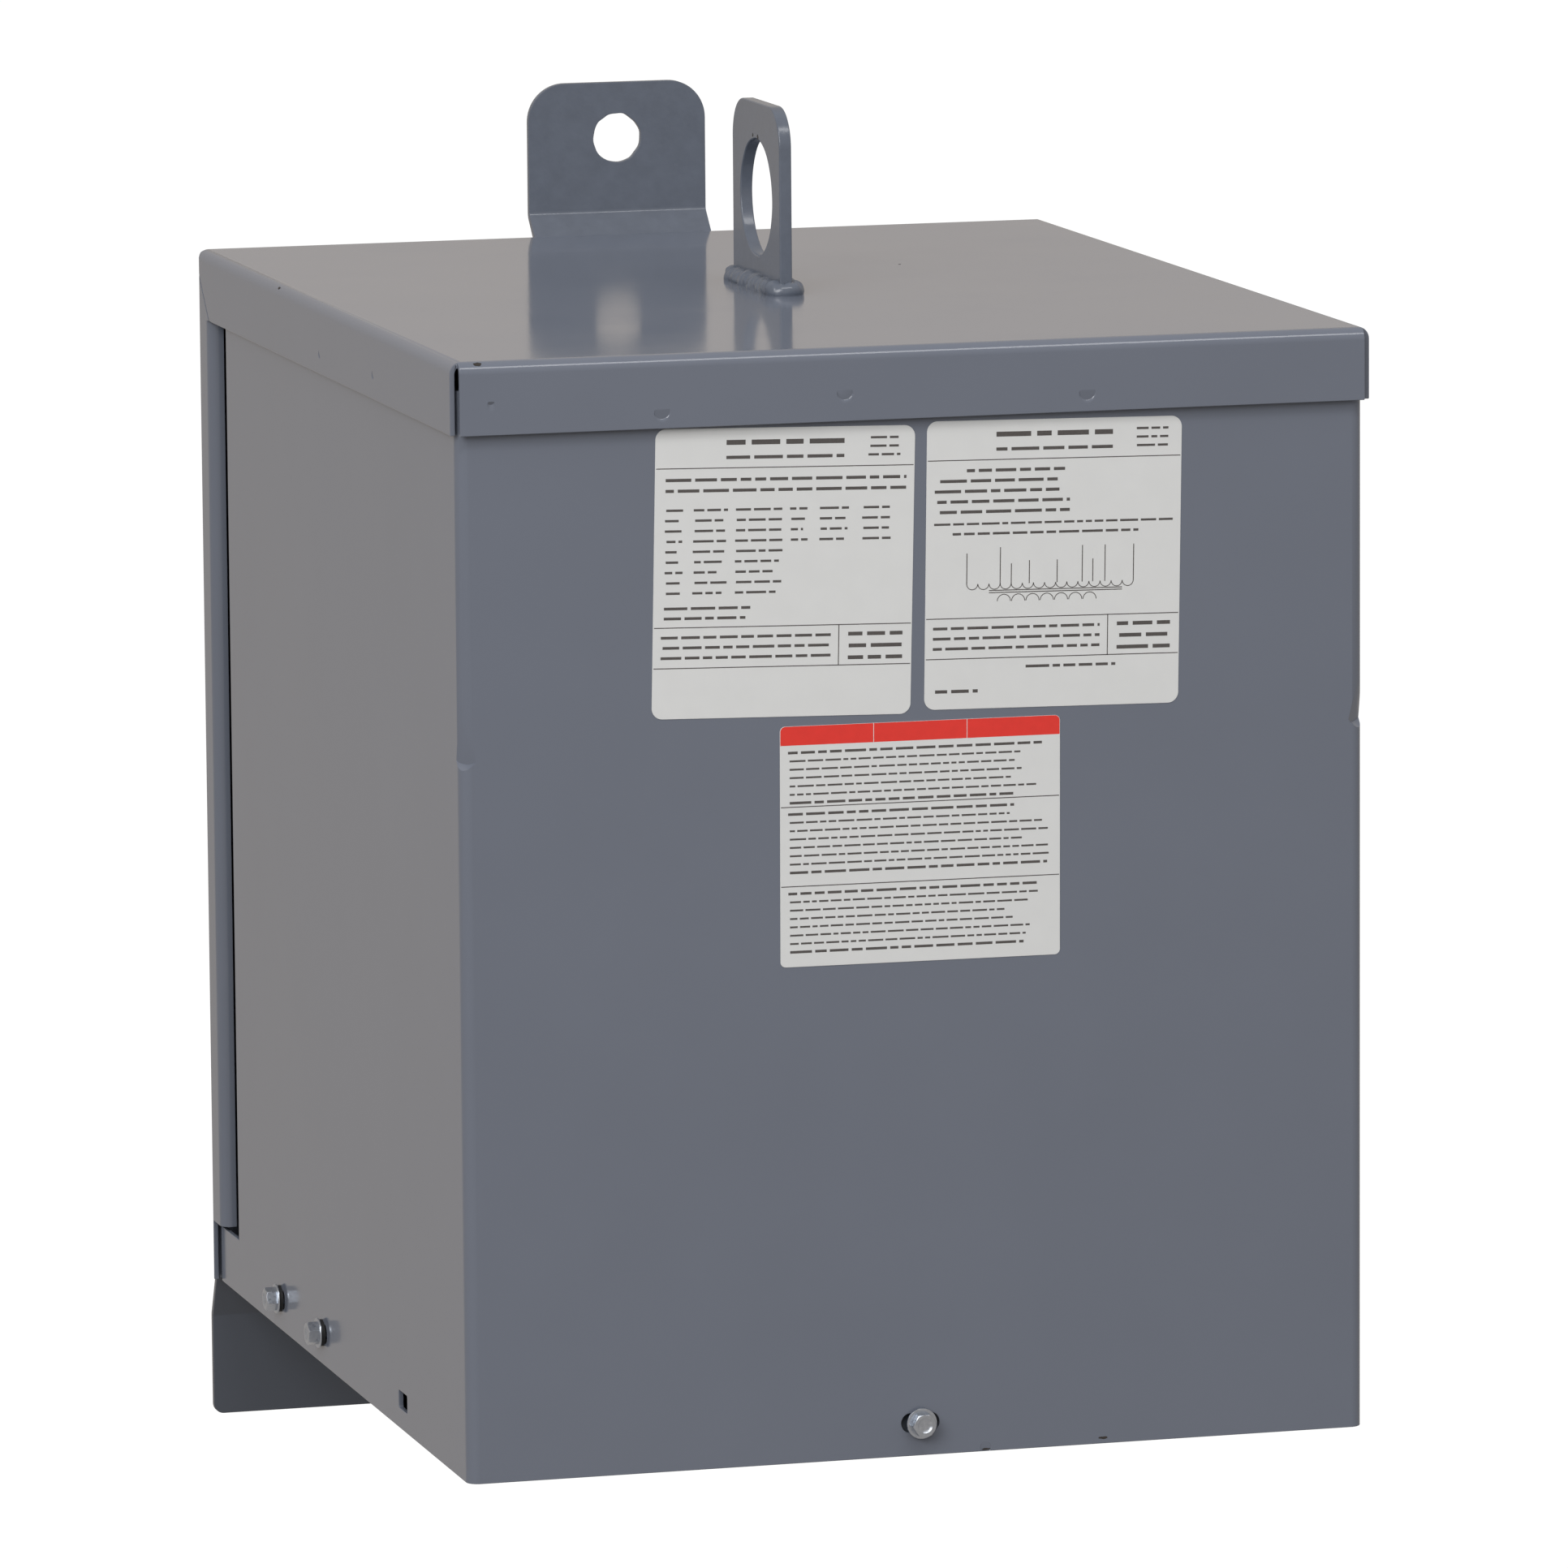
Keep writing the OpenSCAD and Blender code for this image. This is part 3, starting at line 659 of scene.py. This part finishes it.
# labels
labels = {
    "left_label": {"size": (96.8, 105.0), "at": (-49.5, 327.4), "turn": -1.35, "corner": 4.0},
    "right_label": {"size": (96.2, 105.0), "at": (51.8, 326.5), "turn": -0.95, "corner": 4.0},
    "lower_label": {"size": (105.5, 88.0), "at": (1.2, 227.0), "turn": -0.25, "corner": 2.0},
}
printing = {"thick": 0.2, "ink": 0.02, "rule": 0.35}


class Sheet:  # one label's face: marks are given in mm from its middle, and land on the front panel

    def __init__(self, name):
        self.spec = labels[name]
        self.turn = math.radians(self.spec["turn"])
        self.shape = bmesh.new()
        self.random = random.Random(name)

    def place(self, u, v, lift):
        c, s = math.cos(self.turn), math.sin(self.turn)
        return (self.spec["at"][0] + u * c - v * s, body["frontY"] - printing["thick"] - lift,
                body["baseZ"] + self.spec["at"][1] + u * s + v * c)

    def fill(self, outline):
        rings = [[self.shape.verts.new(self.place(u, v, lift)) for u, v in outline] for lift in (-0.05, printing["ink"])]
        self.shape.faces.new(rings[0])
        self.shape.faces.new(rings[1][::-1])
        for i in range(len(outline)):
            j = (i + 1) % len(outline)
            self.shape.faces.new((rings[0][i], rings[0][j], rings[1][j], rings[1][i]))

    def bar(self, u0, v0, u1, v1):
        self.fill([(u0, v0), (u1, v0), (u1, v1), (u0, v1)])

    def rule(self, u0, v0, u1, v1):
        half = printing["rule"] / 2
        self.bar(min(u0, u1) - half, min(v0, v1) - half, max(u0, u1) + half, max(v0, v1) + half)

    def words(self, u0, u1, v, tall, centred=False):  # a row of plain dashes in place of words
        spans, u = [], u0
        while u < u1:
            length = min(self.random.uniform(2.2, 7.5) * tall / 1.4, u1 - u)
            if length > 0.8:
                spans.append((u, u + length))
            u += length + 0.75 * tall
        shift = (u1 - spans[-1][1]) / 2 if centred and spans else 0
        for a, b in spans:
            self.bar(a + shift, v - tall * 0.3, b + shift, v + tall * 0.3)

    def arc(self, u, v, r, start, end, wide=0.3, steps=10):
        outer, inner = [], []
        for k in range(steps + 1):
            angle = math.radians(start + (end - start) * k / steps)
            outer.append((u + (r + wide / 2) * math.cos(angle), v + (r + wide / 2) * math.sin(angle)))
            inner.append((u + (r - wide / 2) * math.cos(angle), v + (r - wide / 2) * math.sin(angle)))
        self.fill(outer + inner[::-1])

    def done(self, name, stuff):
        return finishPiece(objectFrom(self.shape, name), name, stuff, [])


def labelStock(name):
    spec = labels[name]
    w, h = spec["size"]
    corners = filleted([(-w / 2, -h / 2), (w / 2, -h / 2), (w / 2, h / 2), (-w / 2, h / 2)], [spec["corner"]] * 4, 10)
    c, s = math.cos(math.radians(spec["turn"])), math.sin(math.radians(spec["turn"]))
    outline = [(spec["at"][0] + u * c - v * s, body["baseZ"] + spec["at"][1] + u * s + v * c) for u, v in corners]
    sheet = prism(outline, body["frontY"] - printing["thick"], body["frontY"] + 0.02, "y")
    finishPiece(breakEdges(sheet, 0.05, 1), name + "_film", film, [name])


def headAndBox(sheet):  # what both upper labels share: a heading, and a ruled box near the foot
    w, h = sheet.spec["size"]
    top = h / 2
    sheet.rule(-w / 2 + 0.6, top - 0.137 * h, w / 2 - 0.6, top - 0.137 * h)
    sheet.words(-22, 22, top - 5.2, 3.0)
    sheet.words(-22, 22, top - 10.6, 2.0)
    for k in range(3):
        sheet.words(31, 43, top - 4.2 - 3.1 * k, 1.4, True)
    upper, lower, split = top - 0.685 * h, top - 0.825 * h, 0.217 * w
    sheet.rule(-w / 2 + 0.6, upper, w / 2 - 0.6, upper)
    sheet.rule(-w / 2 + 0.6, lower, w / 2 - 0.6, lower)
    sheet.rule(split, lower, split, upper)
    for k in range(3):
        sheet.words(-w / 2 + 3, split - 3, upper - 3.6 - 3.7 * k, 1.7, True)
        sheet.words(split + 3.5, w / 2 - 3.5, upper - 3.4 - 4.3 * k, 2.3, True)


def makeLabels():
    for name in labels:
        labelStock(name)

    left = Sheet("left_label")
    w, h = left.spec["size"]
    top = h / 2
    headAndBox(left)
    left.words(-w / 2 + 4, w / 2 - 3, top - 18.6, 1.9)
    left.words(-w / 2 + 4, w / 2 - 3, top - 22.5, 1.9)
    columns = [(-44.5, -37.5), (-34, -21), (-18.5, -0.5), (2, 9), (13, 25), (29, 41)]
    for row in range(9):
        v = top - 29.5 - 3.75 * row
        for a, b in columns[:6 if row < 4 else 3]:
            left.words(a + left.random.uniform(0, 0.8), b - left.random.uniform(0, 2.5), v, 1.45)
    left.words(-w / 2 + 4, -12, top - 65.0, 1.7)
    left.words(-w / 2 + 4, -14, top - 68.6, 1.7)
    left.done("left_label_print", ink)

    right = Sheet("right_label")
    w, h = right.spec["size"]
    top = h / 2
    headAndBox(right)
    for k, (a, b) in enumerate(((-33, 6), (-43, 2), (-45, 2), (-44, 6), (-43, 6))):
        right.words(a, b, top - 18.2 - 3.75 * k, 1.9)
    right.words(-w / 2 + 3, w / 2 - 3, top - 37.6, 1.35)
    right.words(-w / 2 + 10, w / 2 - 16, top - 41.2, 1.5)
    right.words(-10, 24, top - 90.0, 1.7)
    right.words(-w / 2 + 4, -28, top - 98.5, 2.0)
    # plain winding diagram: two rows of loops, their taps and the core line between them
    first, second = top - 59.5, top - 66.0
    for k in range(15):
        right.arc(-30.5 + 4.2 * k, first, 2.1, 180, 360)
    for u, up in ((-32.6, 11), (-20, 13), (-15.8, 7), (-9, 8), (1.5, 8), (11.0, 13), (15, 8), (19.6, 13), (30.4, 13)):
        right.rule(u, first, u, first + up)
    for k in range(7):
        right.arc(-18.5 + 5.4 * k, second, 2.5, 0, 180)
    right.rule(-24, top - 62.0, 26, top - 62.0)
    right.rule(-24, top - 62.8, 26, top - 62.8)
    right.done("right_label_print", ink)

    lower = Sheet("lower_label")
    w, h = lower.spec["size"]
    top = h / 2
    for cut in (0.335, 0.665):
        lower.rule(-w / 2 + 0.5, top - cut * h, w / 2 - 0.5, top - cut * h)
    for start, rows in ((0.085, 7), (0.34, 8), (0.67, 8)):
        for k in range(rows):
            v = top - start * h - 2.2 - 3.05 * k
            strong = k in (0, rows - 1)
            lower.words(-w / 2 + (3.0 if k == 0 else 3.6), w / 2 - lower.random.uniform(3, 22), v, 1.6 if strong else 1.15)
    lower.done("lower_label_print", ink)
    band = Sheet("lower_label")
    edges = (-w / 2 + 0.05, -w / 6, w / 6, w / 2 - 0.05)
    for a, b in zip(edges, edges[1:]):
        r = 1.9
        corners = [(a + 0.12, top - 7.0), (b - 0.12, top - 7.0), (b - 0.12, top - 0.05), (a + 0.12, top - 0.05)]
        radii = [0, 0, r if b == edges[-1] else 0, r if a == edges[0] else 0]
        band.fill(filleted(corners, radii, 6))
    band.done("lower_label_band", redInk)


makeLabels()
print("labels ready")

# chips where the enamel has gone
chipRows = [  # at, outward, width, height, seed
    ((-162.5, -422.2, 444.1), (0, -0.6, 0.8), 3.2, 1.6, 1), ((-171.2, -149.5, 443.6), (-0.8, 0, 0.6), 2.6, 1.0, 2),
    ((-171.9, -12.9 - 60, 421.5), (-1, 0, 0), 1.2, 1.4, 3), ((69.8, -420.52, 39.2), (0, -1, 0), 3.4, 1.0, 4),
    ((24.8, -420.52, 37.9), (0, -1, 0), 3.0, 0.7, 5), ((-2.42, -219.5, 501.6), (-1, 0, 0), 2.0, 1.5, 6),
    ((-2.42, -212.6, 501.8), (-1, 0, 0), 1.3, 1.2, 7),
    ((70.0, -160.0, 445.02), (0, 0, 1), 1.1, 1.3, 9),
]


def makeChips():
    shape = bmesh.new()
    for at, out, wide, tall, seed in chipRows:
        out = Vector(out).normalized()
        turn = out.to_track_quat("Z", "Y").to_matrix()
        steps = 18
        ring = []
        for k in range(steps):
            angle = 2 * math.pi * k / steps
            reach = 1 + 0.45 * noise.noise(Vector((math.cos(angle) * 1.7, math.sin(angle) * 1.7, seed * 3.1)))
            ring.append(Vector((wide / 2 * reach * math.cos(angle), tall / 2 * reach * math.sin(angle), 0)))
        rings = [[shape.verts.new(Vector(at) + turn @ (p + Vector((0, 0, lift)))) for p in ring] for lift in (-0.06, 0.03)]
        shape.faces.new(rings[0][::-1])
        shape.faces.new(rings[1])
        for i in range(steps):
            j = (i + 1) % steps
            shape.faces.new((rings[0][i], rings[0][j], rings[1][j], rings[1][i]))
    finishPiece(objectFrom(shape, "chips"), "enamel_chips", bareSteel, [])


makeChips()

# CAD pieces that keep their shape
# the inner pieces take the enamel darkened as painted shade for the recess behind the covers
for name in ("bottom_plate", "core_case", "case_side_left", "case_side_right"):
    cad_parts[name].data.materials.clear()
    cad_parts[name].data.materials.append(shadedInsideEnamel)
for name in ("front_seal", "left_front_seal", "left_rear_seal", "right_front_seal", "right_rear_seal"):
    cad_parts[name].data.materials.clear()
    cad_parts[name].data.materials.append(rubber)
print("inner pieces ready")

bpy.context.view_layer.update()
